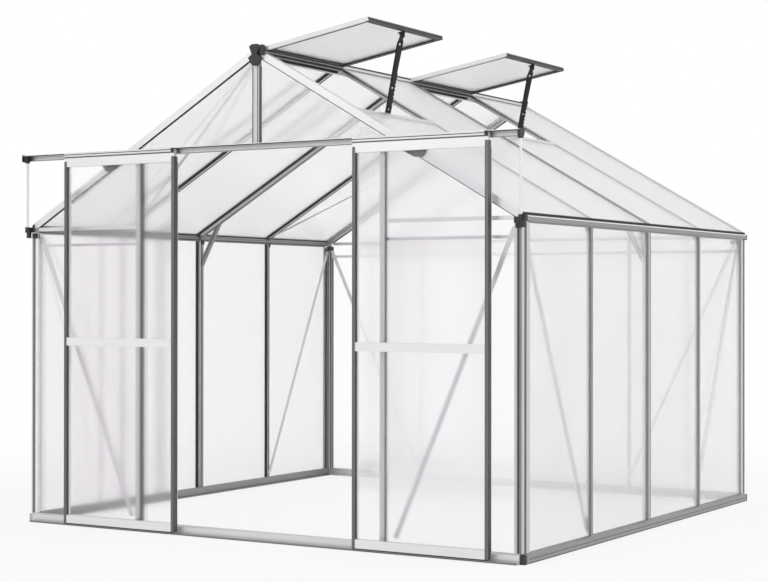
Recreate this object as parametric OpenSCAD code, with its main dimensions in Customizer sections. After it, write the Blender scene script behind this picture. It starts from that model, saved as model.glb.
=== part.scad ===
// Walk-in greenhouse, aluminium frame with twin-wall panels, double sliding doors and two roof vents.
// Millimetres. +Z up, front gable faces -Y, ridge runs along Y.
// Origin: middle of the footprint, on the ground.

/* [House] */
// outside width over the corner posts
wall_w = 2512; // [2412:10:2612]
// outside length over the corner posts
wall_l = 2490; // [2400:10:2600]
// height of the roof surface at the ridge line
ridge_h = 2080; // [2070:2:2100]
// roof slope, degrees
pitch = 30; // [29.5:0.5:30.5]
// thickness of the twin-wall panels
panel_t = 6; // [4:0.5:6.2]

/* [Profiles] */
// thickness of the visible outer lips
lip_t = 3; // [2:0.5:3]
// half width of a plain glazing bar
bar_half = 10; // [8:1:12]
// half width of the middle posts and middle rafters
mid_half = 17; // [15:1:20]
// inward depth of a plain glazing bar
bar_deep = 26; // [20:1:30]
// inward depth of the middle posts and rafters
mid_deep = 32; // [28:1:40]
// height of the base sill
sill_h = 40; // [38:1:44]
// how far the side and rear sills stand proud
sill_out = 11; // [6:1:14]

/* [Doors] */
// width of one sliding door
door_w = 620; // [614:1:630]
// gap between the two doors when shut
door_meet = 6; // [6:1:12]
// left door opening shown at rest
left_open = 400; // [0:1:610]
// right door opening shown at rest
right_open = 503; // [0:1:610]
// underside of the doors above ground
door_foot = 14; // [14:1:18]
// underside of the door track
track_z = 1638; // [1636:1:1642]
// half length of the door track
track_half = 1266; // [1262:1:1276]
// middle of the door rail at half height
door_mid = 827; // [780:1:880]

/* [Roof vents] */
// length of a vent leaf down the slope
leaf_len = 522; // [482:5:542]
// rise of the open leaf above level, degrees
leaf_rise = 9.5; // [4:0.5:14]

/* [Hidden] */
tp = tan(pitch);
cp = cos(pitch);
hw = wall_w / 2;
fit = 0.25;
gap = 0.3;
groove = lip_t + panel_t + 2 * fit;
track_reach = 46;
front_y = -(wall_l + sill_out - track_reach) / 2;
corner_off = 20;
bay = (wall_l - 2 * corner_off) / 4;
bar_y = [for (i = [1 : 3]) corner_off + bay * i];
// y limits of the four bays between the bar centres
bay_y = [for (i = [0 : 3]) [corner_off + bay * i, corner_off + bay * (i + 1)]];
// longer than any piece, for cutting shapes
far = 2 * wall_w;
web = 1;
mid_web = 9;
sill_foot = 36;
sill_corner = 12;
jamb_w = 22;
// each shut door laps its jamb
door_lap = 6;
jamb_in = door_w + door_meet / 2 - door_lap;
jamb_front = -8;
jamb_back = 24;
rafter_deep = 30;
rafter_w = 34;
// the gutter hangs below the roof surface at the wall face
gutter_drop = 33;
gutter_front = -4;
gutter_tail = 6;
gutter_out = 7;
// the front gutter ends stand further out
cap_out = 21;
cap_deep = 20;
gutter_in = 16;
gutter_h = 22;
beam_z = ridge_h - hw * tp - gutter_drop;
lip_top = beam_z + gutter_h;
panel_end = hw - 3;
bar_end = hw - gutter_in - gap;
post_leg = 6;
post_top = beam_z - post_leg - gap;
post_in = 39;
post_back = 56;
ridge_half = 10;
ridge_deep = 46;
ridge_cap_low = 78;
wing_end = 38;
cross_t = 16;
cross_hi = beam_z + 5;
cross_lo = beam_z - 67;
lower_h = 13;
lower_t = 5;
lower_y = groove + gap;
transom_lo = track_z + 10;
transom_hi = track_z + 36;
door_front = -44;
door_back = -14;
rod_r = 5.5;
rod_y = -27;
rod_wall = 2;
// each rod stands on a gutter end and holds the track near its end
rod_foot = hw + 2.5;
rod_top = track_half - 7.5;
rod_low = lip_top - 8;
rod_high = track_z - 1;
rod_lean = atan2(rod_top - rod_foot, rod_high - rod_low);
boss = rod_r + gap + rod_wall;
// a door runs out until it is this far short of the rod bosses
door_clear = 5;
door_end = min(rod_foot, rod_top) - boss - door_clear;
travel = door_end - door_w - door_meet / 2;
brace_w = 20;
brace_t = 2;
brace_foot = 60;
brace_end = 50;
strip_end = 60;
track_h = 34;
// the rollers run on a foot this far above the lower end of the channel
track_foot = 8;
// the track sits this far off the middle
track_shift = -4;
track_a = track_shift - track_half;
track_b = track_shift + track_half;
brace_back = bar_deep + gap + brace_t;
knee_reach = 132;
knee_low = 141;
knee_w = 46;
rear_post_x = jamb_in + jamb_w / 2;
hinge_x = 36;
hinge_z = ridge_h;
leaf_w = bay + 2;
// a leaf starts this far before its bay
leaf_back = 17;
leaf_t = 18;
sill_x = 484;
sill_w = 24;
vent_bays = [0, 2];

light = [0.86, 0.87, 0.88];
dark = [0.12, 0.12, 0.13];
clear_c = [0.93, 0.94, 0.95, 0.6];

function roof_z(x) = ridge_h - abs(x) * tp;
function roof_d(x, d) = roof_z(x) - d / cp;
// half width between the two slopes at a height, at a depth below the roof surface
function half_at(z, d) = (ridge_h - z - d / cp) / tp;

// upright plate cut from an X-Z outline, between two y values
module upright(y0, y1) translate([0, y1, 0]) rotate([90, 0, 0]) linear_extrude(y1 - y0) children();
// level strip cut from an outward-height outline, running along Y on the right side
module run_y(y0, y1) upright(y0, y1) children();
// strip lying in the roof slope, depth measured square to the surface
module slope(xa, xb, d0, d1, y0, y1)
  upright(y0, y1)
    polygon([[xa, roof_d(xa, d0)], [xb, roof_d(xb, d0)], [xb, roof_d(xb, d1)], [xa, roof_d(xa, d1)]]);
module both() {
  children();
  mirror([1, 0, 0]) children();
}
module block(x0, x1, y0, y1, z0, z1) translate([x0, y0, z0]) cube([x1 - x0, y1 - y0, z1 - z0]);
module place() translate([0, front_y, 0]) children();

// ---------- base ----------
// outward is +x of the outline, wall face at zero
module sill_outline(out) {
  difference() {
    polygon([[out, 0], [out, sill_h - 6], [0, sill_h], [-lip_t, sill_h], [-lip_t, sill_h - 14],
             [-groove, sill_h - 14], [-groove, sill_h], [-groove - lip_t, sill_h],
             [-groove - lip_t, 4], [-sill_foot, 4], [-sill_foot, 0]]);
    polygon([[out - 3, 4], [out - 3, sill_h - 18], [-groove, sill_h - 18], [-groove, 4]]);
  }
}
// plan of one sill, mitred behind the corner pieces: along the sill, then inwards
module sill_plan(a, b) linear_extrude(sill_h + 1)
  polygon([[a, -far], [b, -far], [b, sill_corner], [b - sill_foot, sill_corner + sill_foot],
           [a + sill_foot, sill_corner + sill_foot], [a, sill_corner]]);
module side_sill() intersection() {
  run_y(0, wall_l) translate([hw, 0]) sill_outline(sill_out);
  translate([hw, 0, 0]) rotate([0, 0, 90]) sill_plan(sill_corner + gap, wall_l - sill_corner - gap);
}
module gable_sill(out) intersection() {
  rotate([0, 0, -90]) upright(-hw, hw) sill_outline(out);
  sill_plan(sill_corner - hw, hw - sill_corner);
}
module base_frame_right() color(light) place() side_sill();
module base_frame_left() color(light) place() mirror([1, 0, 0]) side_sill();
module base_frame_rear() color(light) place()
  translate([0, wall_l, 0]) mirror([0, 1, 0]) gable_sill(sill_out);
module base_frame_front() color(light) place() {
  gable_sill(-jamb_front);
  // door guide ledge along the foot
  block(sill_corner - hw, hw - sill_corner, -28, jamb_front, 0, 3);
  block(sill_corner - hw, hw - sill_corner, -28, -25, 0, 8);
}
module base_corner_pieces() color(dark) place() both() {
  sill_corner();
  translate([0, wall_l, 0]) mirror([0, 1, 0]) sill_corner();
}
module sill_corner()
  linear_extrude(34)
    polygon([[hw - sill_corner + gap, jamb_front], [hw + 5, jamb_front], [hw + sill_out, -2],
             [hw + sill_out, sill_corner], [hw - 2, sill_corner], [hw - 2, 2], [hw - sill_corner + gap, 2]]);

// ---------- upright posts ----------
// corner post: a rib at the corner, a recess on either side of it, then the flanges
corner_rib = 7;
side_rib = 9;
recess = 6;
flange = 28;
// first axis inward from the side wall, second inward from the gable
module corner_outline()
  polygon([[post_in, 0], [flange, 0], [flange, recess], [corner_rib, recess], [corner_rib, 0], [0, 0],
           [0, side_rib], [recess, side_rib], [recess, flange], [0, flange], [0, post_back],
           [lip_t, post_back], [lip_t, 32], [groove, 32], [groove, post_back],
           [groove + lip_t, post_back], [groove + lip_t, 32], [32, groove + lip_t], [post_in, groove + lip_t],
           [post_in, groove], [31, groove], [31, lip_t], [post_in, lip_t]]);
// corner posts reach up to the gutter between the legs of the wall bars
module corner_post_right() translate([hw, 0, sill_h + gap]) mirror([1, 0, 0])
  linear_extrude(beam_z - 3 - sill_h - gap) corner_outline();
module front_corner_posts() color(light) place() both() corner_post_right();
module rear_corner_posts() color(light) place()
  translate([0, wall_l, 0]) mirror([0, 1, 0]) both() corner_post_right();

// bar outline: first axis outward, second along the wall
module bar_outline(half, deep, web)
  polygon([[0, -half], [0, half], [-lip_t, half], [-lip_t, web], [-groove, web], [-groove, half],
           [-groove - 2, half], [-groove - 2, web], [-deep, web], [-deep, -web], [-groove - 2, -web],
           [-groove - 2, -half], [-groove, -half], [-groove, -web], [-lip_t, -web], [-lip_t, -half]]);
module wall_bar(y, half, deep, web)
  translate([hw, y, sill_h + gap]) linear_extrude(post_top - sill_h - gap) bar_outline(half, deep, web);
module plain_wall_bars() for (i = [0, 2]) wall_bar(bar_y[i], bar_half, bar_deep, web);
module middle_wall_bar() wall_bar(bar_y[1], mid_half, mid_deep, mid_web);
module right_wall_bars() color(light) place() plain_wall_bars();
module left_wall_bars() color(light) place() mirror([1, 0, 0]) plain_wall_bars();
module right_middle_post() color(light) place() middle_wall_bar();
module left_middle_post() color(light) place() mirror([1, 0, 0]) middle_wall_bar();

// ---------- eaves ----------
module gutter_outline() {
  polygon([[-gutter_in, beam_z], [gutter_out, beam_z], [gutter_out, lip_top], [gutter_out - 3, lip_top],
           [gutter_out - 3, beam_z + 3], [-gutter_in + 3, beam_z + 3],
           [-gutter_in + 3, roof_d(hw - gutter_in + 3, groove + gap)],
           [-gutter_in, roof_d(hw - gutter_in, groove + gap)]]);
  for (x = [0, -groove])
    polygon([[x, beam_z + 1], [x, beam_z - post_leg],
             [x - lip_t, beam_z - post_leg], [x - lip_t, beam_z + 1]]);
}
module eave_run() {
  difference() {
    run_y(gutter_front, wall_l + gutter_tail) translate([hw, 0]) gutter_outline();
    // the lower legs stop against the corner posts
    block(hw - 50, hw + 1, -20, post_back + gap, beam_z - 20, beam_z);
    block(hw - 50, hw + 1, wall_l - post_back - gap, wall_l + 20, beam_z - 20, beam_z);
    // and clear the gable rafters
    block(hw - 20, hw - 12, -20, -gap, beam_z + 3.5, ridge_h);
  }
}
module right_eave_gutter() color(light) place() eave_run();
module left_eave_gutter() color(light) place() mirror([1, 0, 0]) eave_run();
// the rod as a round bar between two levels
module rod(r, z0, z1) intersection() {
  translate([rod_foot, rod_y, rod_low]) rotate([0, rod_lean, 0])
    translate([0, 0, -far]) cylinder(r = r, h = 2 * far, $fn = 48);
  block(-far, far, -far, far, z0, z1);
}
module gutter_end_caps() color(dark) place() both() {
  x0 = hw - gutter_in - 1;
  x1 = hw + gutter_out + 1;
  y1 = wall_l + gutter_tail + gap;
  difference() {
    union() {
      block(x0, hw + cap_out, gutter_front - 5, gutter_front - gap, beam_z - 1, lip_top + 1);
      block(rod_foot - boss, hw + cap_out, gutter_front - cap_deep, gutter_front - gap,
            beam_z - 1, lip_top + 1);
      // boss for the track rod
      block(rod_foot - boss, rod_foot + boss, rod_y - boss, gutter_front - 4, lip_top - 14, lip_top + 1);
      // outlet spout
      block(rod_foot - 6, rod_foot + 12, rod_y + 6, gutter_front - 4, beam_z - 26, lip_top - 12);
    }
    rod(rod_r + gap, rod_low, rod_high);
  }
  block(x0, x1, y1, y1 + 4, beam_z - 3, lip_top + 1);
}

// ---------- roof frame ----------
module slope_bar(y, half, deep, web) {
  slope(wing_end - 14, panel_end, 0, lip_t, y - half, y + half);
  slope(wing_end + 1, bar_end, 0, deep, y - web, y + web);
  slope(wing_end + 1, bar_end, groove, groove + 2, y - half, y + half);
}
module plain_roof_bars() for (i = [0, 2]) slope_bar(bar_y[i], bar_half, bar_deep, web);
module right_roof_bars() color(light) place() plain_roof_bars();
module left_roof_bars() color(light) place() mirror([1, 0, 0]) plain_roof_bars();
module middle_rafters() color(light) place() both() slope_bar(bar_y[1], mid_half, mid_deep, mid_web);
module gable_rafter() {
  slope(wing_end - 14, panel_end, 0, lip_t, 0, rafter_w);
  slope(wing_end - 14, bar_end, 0, rafter_deep, 0, lip_t);
  slope(wing_end + 1, bar_end, 0, rafter_deep, groove, groove + lip_t);
  slope(wing_end + 1, bar_end, groove, groove + lip_t, groove, rafter_w);
}
module front_gable_rafters() color(light) place() both() gable_rafter();
module rear_gable_rafters() color(light) place()
  translate([0, wall_l, 0]) mirror([0, 1, 0]) both() gable_rafter();
module ridge_beam() color(light) place() {
  y0 = lip_t + gap;
  block(-ridge_half, ridge_half, y0, wall_l - y0, ridge_h - ridge_deep, ridge_h + 4);
  both() slope(ridge_half - 4, wing_end, -lip_t - gap, -gap, y0, wall_l - y0);
  both() slope(ridge_half - 4, wing_end, groove + gap, groove + gap + 3, y0, wall_l - y0);
}
module ridge_end_caps() color(dark) place() {
  ridge_cap();
  translate([0, wall_l, 0]) mirror([0, 1, 0]) ridge_cap();
}
// upper block, neck and lower hexagon: half widths and heights above the ridge line
cap_side = [[14, 12], [27, 2], [13, -30], [32, -45], [21, -64], [11, -ridge_cap_low]];
module ridge_cap() upright(-16, -gap) translate([0, ridge_h])
  polygon(concat(cap_side, [for (i = [len(cap_side) - 1 : -1 : 0]) [-cap_side[i][0], cap_side[i][1]]]));

// ---------- gable frames ----------
module jamb_right()
  translate([jamb_in, 0, sill_h + gap])
    linear_extrude(roof_d(jamb_in + jamb_w, rafter_deep) - gap - sill_h - gap)
      polygon([[0, jamb_front], [jamb_w, jamb_front], [jamb_w, lip_t], [jamb_w / 2, lip_t],
               [jamb_w / 2, groove], [jamb_w, groove], [jamb_w, groove + lip_t],
               [jamb_w / 2, groove + lip_t], [jamb_w / 2, jamb_back], [0, jamb_back]]);
module door_jambs() color(light) place() both() jamb_right();
// level gable bar, from the front face inwards
module cross_bar(xa, xb, z) {
  block(xa, xb, 0, lip_t, z, z + cross_t);
  block(xa, xb, 0, groove + lip_t, z + cross_t / 2 - web, z + cross_t / 2 + web);
  block(xa, xb, groove, groove + lip_t, z, z + cross_t);
}
cross_a = jamb_in + jamb_w + gap;
cross_b = hw - post_in - gap;
module front_cross_bars() color(light) place() both() {
  cross_bar(cross_a, cross_b, cross_hi);
  block(cross_a, cross_b, lower_y, lower_y + lower_t, cross_lo, cross_lo + lower_h);
}
module front_king_post() color(light) place() {
  z0 = transom_hi + gap;
  translate([0, 0, z0]) linear_extrude(ridge_h - ridge_deep - gap - z0)
    polygon([[-19, 0], [19, 0], [19, lip_t], [3, lip_t], [3, groove], [19, groove], [19, groove + lip_t],
             [-19, groove + lip_t], [-19, groove], [-3, groove], [-3, lip_t], [-19, lip_t]]);
  block(-7, 7, -3, 1, z0, ridge_h - ridge_cap_low - gap);
}
// the transom runs between the jambs, or between the rafters where these come lower
transom_half = min(jamb_in, half_at(transom_hi, rafter_deep)) - gap;
module front_transom() color(light) place() difference() {
  x = transom_half;
  block(-x, x, 0, groove + lip_t, transom_lo, transom_hi);
  block(-x - 1, x + 1, lip_t, groove, transom_hi - 12, transom_hi + 1);
  block(-x - 1, x + 1, lip_t, groove + lip_t + 1, transom_lo + 3, transom_hi - 16);
}
module rear_post(x, z0, z1)
  translate([x, 0, z0 + gap]) linear_extrude(z1 - z0 - 2 * gap)
    rotate(-90) bar_outline(bar_half, bar_deep, web);
module rear_gable_posts() color(light) place() translate([0, wall_l, 0]) mirror([0, 1, 0]) {
  both() rear_post(rear_post_x, sill_h, cross_hi);
  rear_post(0, cross_hi + cross_t, ridge_h - ridge_deep);
}
module rear_cross_bars() color(light) place() translate([0, wall_l, 0]) mirror([0, 1, 0]) {
  cross_bar(-cross_b, cross_b, cross_hi);
  block(-cross_b, cross_b, bar_deep + gap, bar_deep + gap + lower_t, cross_lo, cross_lo + lower_h);
}

// ---------- door track ----------
// plate on the wall, top of the channel, foot that the rollers run on, front lip
module door_track() color(light) place() {
  block(track_a, track_b, -11, -8, track_z + track_foot, track_z + track_h);
  block(track_a, track_b, -track_reach, -8, track_z + track_h - 3, track_z + track_h);
  block(track_a, track_b, -20, -8, track_z + track_foot, track_z + track_foot + 3);
  block(track_a, track_b, -track_reach, 2 - track_reach, track_z + track_h - 6, track_z + track_h);
}
// the track is fixed to the king post and where it crosses the rafters
module track_brackets() color(dark) place() {
  x = half_at(track_z - 11, 0);
  block(-19, 19, -7.7, -gap, track_z + 10, track_z + track_h);
  both() upright(-7.7, -gap)
    polygon([[x - 9, track_z - 53], [x + 27, track_z - 53], [x + 49, track_z - 27],
             [x + 30, track_z + 20], [x - 34, track_z + 20], [x - 61, track_z - 26]]);
}
// end plate outline, square in front and rounded below towards the wall
module end_plate(x0, x1) translate([x0, 0, track_z]) rotate([90, 0, 90]) linear_extrude(x1 - x0)
  polygon(concat([[-track_reach - 2, 6], [-track_reach + 2, 4]],
    [for (a = [-90 : 20 : 10]) [16 * cos(a) - 26, 20 + 16 * sin(a)]],
    [[-8, 24], [-8, track_h + 3], [-track_reach, track_h + 3], [-track_reach - 2, track_h + 1]]));
module track_end_stops() color(dark) place() {
  end_plate(track_a - 4, track_a - gap);
  end_plate(track_b + gap, track_b + 4);
  // stop in the channel, standing on the rod holder
  for (s = [-1, 1]) {
    x = s < 0 ? track_a : track_b;
    mirror([s < 0 ? 1 : 0, 0, 0]) {
      block(rod_top - boss, s * x - gap, -40, -20 - gap, track_z + track_foot - gap,
            track_z + track_h - 3 - gap);
      block(rod_top - boss, rod_top + boss, -36, -20 - gap, rod_high, track_z + track_foot + 1);
    }
  }
}
module track_support_rods() color(clear_c) place() both() rod(rod_r, rod_low + gap, rod_high - gap);

// ---------- bracing ----------
// flat strip between two points of an upright plane
module strip(ax, az, bx, bz, w, t)
  translate([ax, 0, az]) rotate([0, -atan2(bz - az, bx - ax), 0])
    translate([0, 0, -w / 2]) cube([norm([bx - ax, bz - az]), t, w]);
module brace(ax, bx, drop) strip(ax, brace_foot, bx, beam_z - drop, brace_w, brace_t);
module front_gable_braces() color(light) place() both()
  translate([0, lower_y + lower_t + gap, 0]) brace(jamb_in + jamb_w + 38, hw - post_in - 6, 22);
module rear_gable_braces() color(light) place() translate([0, wall_l, 0]) mirror([0, 1, 0]) both()
  translate([0, bar_deep + 2 * gap + lower_t, 0]) brace(rear_post_x, hw - post_in - 6, 22);
module side_braces()
  translate([hw - brace_back, 0, 0]) rotate([0, 0, 90]) mirror([0, 1, 0]) {
    brace(bar_y[0] + 2, brace_end, 31);
    brace(bar_y[2] - 2, wall_l - brace_end, 31);
  }
module right_wall_braces() color(light) place() side_braces();
module left_wall_braces() color(light) place() mirror([1, 0, 0]) side_braces();
// flat strip lying under the roof bars, from near the ridge to near the eave
module roof_strip(y0, y1) {
  top = strip_end / cp;
  run = (hw - strip_end) / cp - top;
  translate([0, 0, ridge_h]) rotate([0, pitch, 0]) translate([top, y0, -brace_back])
    rotate([0, 0, atan2(y1 - y0, run)]) translate([0, -brace_w / 2, 0])
      cube([norm([run, y1 - y0]), brace_w, brace_t]);
}
// the bays that hold a vent have none
module roof_braces() color(light) place() {
  mirror([1, 0, 0]) roof_strip(brace_end, bar_y[0] + 4);
  both() roof_strip(wall_l - brace_end, bar_y[2] - 4);
}
// from the middle posts up to the middle rafters
module knee_braces() color(light) place() both() {
  x0 = hw - mid_deep - gap;
  x1 = hw - knee_reach;
  z0 = beam_z - knee_low;
  translate([0, bar_y[1], 0]) upright(-8, 8)
    polygon([[x0, z0], [x0, z0 + knee_w], [x1 + 16, roof_d(x1 + 16, mid_deep) - gap],
             [x1 - 18, roof_d(x1 - 18, mid_deep) - gap]]);
}

// ---------- glazing ----------
module side_panels() for (b = [0 : 3]) {
  y0 = b == 0 ? 33 : bay_y[b][0] + 1 + (b == 2 ? mid_web : web);
  y1 = b == 3 ? wall_l - 33 : bay_y[b][1] - 1 - (b == 1 ? mid_web : web);
  block(hw - lip_t - fit - panel_t, hw - lip_t - fit, y0, y1, sill_h - 13, beam_z - 1);
}
module right_wall_panels() color(clear_c) place() side_panels();
module left_wall_panels() color(clear_c) place() mirror([1, 0, 0]) side_panels();
module gable_sheet() upright(lip_t + fit, lip_t + fit + panel_t) children();
sheet_low = sill_h - 13;
sheet_out = hw - 31;
// the gable sheets reach this deep under the roof surface
sheet_deep = 14;
module front_gable_panels() color(clear_c) place() {
  x0 = jamb_in + jamb_w / 2 + 1;
  x1 = x0 + jamb_w / 2;
  x2 = hw - post_in - 4;
  x3 = wing_end + 2;
  x4 = min(jamb_in, half_at(transom_hi - 11, sheet_deep)) - 2;
  z0 = roof_d(jamb_in + jamb_w, rafter_deep);
  // beside the doorway, below and above the cross bars
  both() gable_sheet()
    polygon([[x0, sheet_low], [sheet_out, sheet_low], [sheet_out, cross_hi + 6], [x0, cross_hi + 6]]);
  both() gable_sheet()
    polygon([[x0, cross_hi + 10], [x2, cross_hi + 10], [x2, roof_d(x2, sheet_deep)],
             [x1, roof_d(x1, sheet_deep)], [x1, z0], [x0, z0 - 1]]);
  // over the doorway
  both() gable_sheet()
    polygon([[4, transom_hi - 11], [x4, transom_hi - 11], [x4, roof_d(x4, sheet_deep)],
             [x3, roof_d(x3, sheet_deep)], [x3, ridge_h - ridge_deep - 4], [4, ridge_h - ridge_deep - 4]]);
}
module rear_gable_panels() color(clear_c) place() translate([0, wall_l, 0]) mirror([0, 1, 0]) {
  x0 = rear_post_x + 2;
  x1 = rear_post_x - 2;
  x2 = hw - post_in - 4;
  x3 = wing_end + 2;
  both() gable_sheet()
    polygon([[x0, sheet_low], [sheet_out, sheet_low], [sheet_out, cross_hi + 6], [x0, cross_hi + 6]]);
  gable_sheet() polygon([[-x1, sheet_low], [x1, sheet_low], [x1, cross_hi + 6], [-x1, cross_hi + 6]]);
  both() gable_sheet()
    polygon([[2, cross_hi + 10], [x2, cross_hi + 10], [x2, roof_d(x2, sheet_deep)],
             [x3, roof_d(x3, sheet_deep)], [x3, ridge_h - ridge_deep - 4], [2, ridge_h - ridge_deep - 4]]);
}
module roof_sheet(b, xa) {
  y0 = b == 0 ? groove + lip_t + 2 : bay_y[b][0] + 1 + (b == 2 ? mid_web : web);
  y1 = b == 3 ? wall_l - groove - lip_t - 2 : bay_y[b][1] - 1 - (b == 1 ? mid_web : web);
  slope(xa, panel_end, lip_t + fit, lip_t + fit + panel_t, y0, y1);
}
module left_roof_panels() color(clear_c) place() mirror([1, 0, 0])
  for (b = [0 : 3]) roof_sheet(b, ridge_half + 2);
module right_roof_panels() color(clear_c) place() {
  for (b = [1, 3]) roof_sheet(b, ridge_half + 2);
  for (b = vent_bays) roof_sheet(b, sill_x + 10);
}
module roof_edge_seals() color(dark) place() both()
  slope(panel_end + gap, panel_end + 5, 0, lip_t + fit + panel_t + 1, 4, wall_l - 4);

// ---------- roof vents ----------
module vent_sills() color(light) place() for (b = vent_bays) {
  y0 = (b == 0 ? rafter_w : bay_y[b][0] + mid_half) + gap;
  y1 = bay_y[b][1] - bar_half - gap;
  difference() {
    slope(sill_x, sill_x + sill_w, 0, 24, y0, y1);
    slope(sill_x + 9, sill_x + sill_w + 1, lip_t, groove, y0 - 1, y1 + 1);
    slope(sill_x - 1, sill_x + sill_w - 3, groove + lip_t, 21, y0 - 1, y1 + 1);
  }
}
module leaf_frame() difference() {
  block(0, leaf_len, 0, leaf_w, -leaf_t, 0);
  block(20, leaf_len - 20, 20, leaf_w - 20, -leaf_t - 1, 1);
  block(12, leaf_len - 12, 12, leaf_w - 12, -groove, -lip_t);
}
module on_leaf(b) translate([hinge_x, bay_y[b][0] - leaf_back, hinge_z]) rotate([0, -leaf_rise, 0]) children();
module vent_frames() color(light) place() for (b = vent_bays) on_leaf(b) leaf_frame();
module vent_panels() color(clear_c) place() for (b = vent_bays) on_leaf(b)
  block(13, leaf_len - 13, 13, leaf_w - 13, -lip_t - fit - panel_t, -lip_t - fit);
module vent_stays() color(dark) place() for (b = vent_bays) {
  ax = sill_x - 22;
  az = roof_z(ax) - 12;
  bx = hinge_x + (leaf_len - 26) * cos(leaf_rise) + 24 * sin(leaf_rise);
  bz = hinge_z + (leaf_len - 26) * sin(leaf_rise) - 30;
  y = bay_y[b][0] - leaf_back + leaf_w / 2;
  translate([0, y - 2, 0]) strip(ax, az, bx, bz, 22, 4);
  // plate on the sill bar and plate under the leaf
  block(sill_x - 34, sill_x - gap, y + 2 + gap, y + 6, az - 14, az + 8);
  on_leaf(b) block(leaf_len - 42, leaf_len - 8, leaf_w / 2 + 2 + gap, leaf_w / 2 + 6, -44, -leaf_t - gap);
}

// ---------- doors ----------
rail_t = 36;
head_t = 23;
stile_w = 14;
rail_back = -22;
hanger_back = -26;
door_top = track_z - 5;
sheet_y = -33;
// the sheets sit this deep in the grooves of the door bars
sheet_lap = 8;
roller_r = 9;
roller_in = 70;
// z limits of the two sheets between the rails
door_panes = [[door_foot + rail_t, door_mid - rail_t / 2], [door_mid + rail_t / 2, door_top - head_t]];
module door_frame() difference() {
  union() {
    for (x = [0, door_w - stile_w]) block(x, x + stile_w, door_front, door_back, door_foot, door_top);
    block(0, door_w, door_front, rail_back, door_foot, door_foot + rail_t);
    block(0, door_w, door_front, rail_back, door_mid - rail_t / 2, door_mid + rail_t / 2);
    block(0, door_w, door_front, rail_back, door_top - head_t, door_top);
    // hanger flange inside the track
    block(0, door_w, door_front, hanger_back, door_top - 1, track_z + 26);
  }
  for (p = door_panes)
    block(stile_w - sheet_lap + 1, door_w - stile_w + sheet_lap - 1, sheet_y - fit, sheet_y + panel_t + fit,
          p[0] - sheet_lap - 1, p[1] + sheet_lap + 1);
}
module door_sheets() for (p = door_panes)
  block(sheet_lap, door_w - sheet_lap, sheet_y, sheet_y + panel_t, p[0] - sheet_lap, p[1] + sheet_lap);
// the rollers run on the foot of the track, each on a short axle
module door_rollers() for (x = [roller_in, door_w - roller_in]) {
  z = track_z + track_foot + 3 + 2 * gap + roller_r;
  translate([x, -12, z]) rotate([90, 0, 0]) cylinder(r = roller_r, h = 7, $fn = 48);
  translate([x, -18, z]) rotate([90, 0, 0]) cylinder(r = 3, h = 7.7, $fn = 32);
}
left_x = -door_w - door_meet / 2 - min(left_open, travel);
right_x = door_meet / 2 + min(right_open, travel);
module left_door_frame() color(light) place() translate([left_x, 0, 0]) door_frame();
module left_door_panels() color(clear_c) place() translate([left_x, 0, 0]) door_sheets();
module left_door_rollers() color(dark) place() translate([left_x, 0, 0]) door_rollers();
module right_door_frame() color(light) place() translate([right_x, 0, 0]) door_frame();
module right_door_panels() color(clear_c) place() translate([right_x, 0, 0]) door_sheets();
module right_door_rollers() color(dark) place() translate([right_x, 0, 0]) door_rollers();

base_frame_front();
base_frame_rear();
base_frame_left();
base_frame_right();
base_corner_pieces();
front_corner_posts();
rear_corner_posts();
left_wall_bars();
right_wall_bars();
left_middle_post();
right_middle_post();
left_eave_gutter();
right_eave_gutter();
gutter_end_caps();
left_roof_bars();
right_roof_bars();
middle_rafters();
front_gable_rafters();
rear_gable_rafters();
ridge_beam();
ridge_end_caps();
door_jambs();
front_cross_bars();
front_king_post();
front_transom();
rear_gable_posts();
rear_cross_bars();
door_track();
track_brackets();
track_end_stops();
track_support_rods();
front_gable_braces();
rear_gable_braces();
left_wall_braces();
right_wall_braces();
roof_braces();
knee_braces();
left_wall_panels();
right_wall_panels();
front_gable_panels();
rear_gable_panels();
left_roof_panels();
right_roof_panels();
roof_edge_seals();
vent_sills();
vent_frames();
vent_panels();
vent_stays();
left_door_frame();
left_door_panels();
left_door_rollers();
right_door_frame();
right_door_panels();
right_door_rollers();
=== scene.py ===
"""Looks of the walk-in greenhouse: aluminium bars, twin-wall sheets, seals, screws and fittings.

Metres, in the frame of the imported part: +Z up, the front gable faces -Y, the ridge runs along Y.
"""

import math

import bpy
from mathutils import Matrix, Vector


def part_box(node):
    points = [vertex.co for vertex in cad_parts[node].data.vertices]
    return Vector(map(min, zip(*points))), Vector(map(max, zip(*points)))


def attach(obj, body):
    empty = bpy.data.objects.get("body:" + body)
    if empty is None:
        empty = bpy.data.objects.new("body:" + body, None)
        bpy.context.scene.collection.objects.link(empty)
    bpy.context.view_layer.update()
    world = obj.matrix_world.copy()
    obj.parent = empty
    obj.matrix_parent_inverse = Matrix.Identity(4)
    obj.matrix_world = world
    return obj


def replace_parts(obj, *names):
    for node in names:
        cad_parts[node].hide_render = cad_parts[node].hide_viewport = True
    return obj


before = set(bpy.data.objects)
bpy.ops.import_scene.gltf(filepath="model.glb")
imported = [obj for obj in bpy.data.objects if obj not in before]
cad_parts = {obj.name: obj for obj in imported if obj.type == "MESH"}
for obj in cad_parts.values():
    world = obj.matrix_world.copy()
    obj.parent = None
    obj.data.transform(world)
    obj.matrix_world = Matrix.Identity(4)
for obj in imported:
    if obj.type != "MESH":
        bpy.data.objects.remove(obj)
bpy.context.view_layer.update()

MM = 0.001
PITCH = math.radians(30)

# ---------------------------------------------------------------- materials


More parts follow.
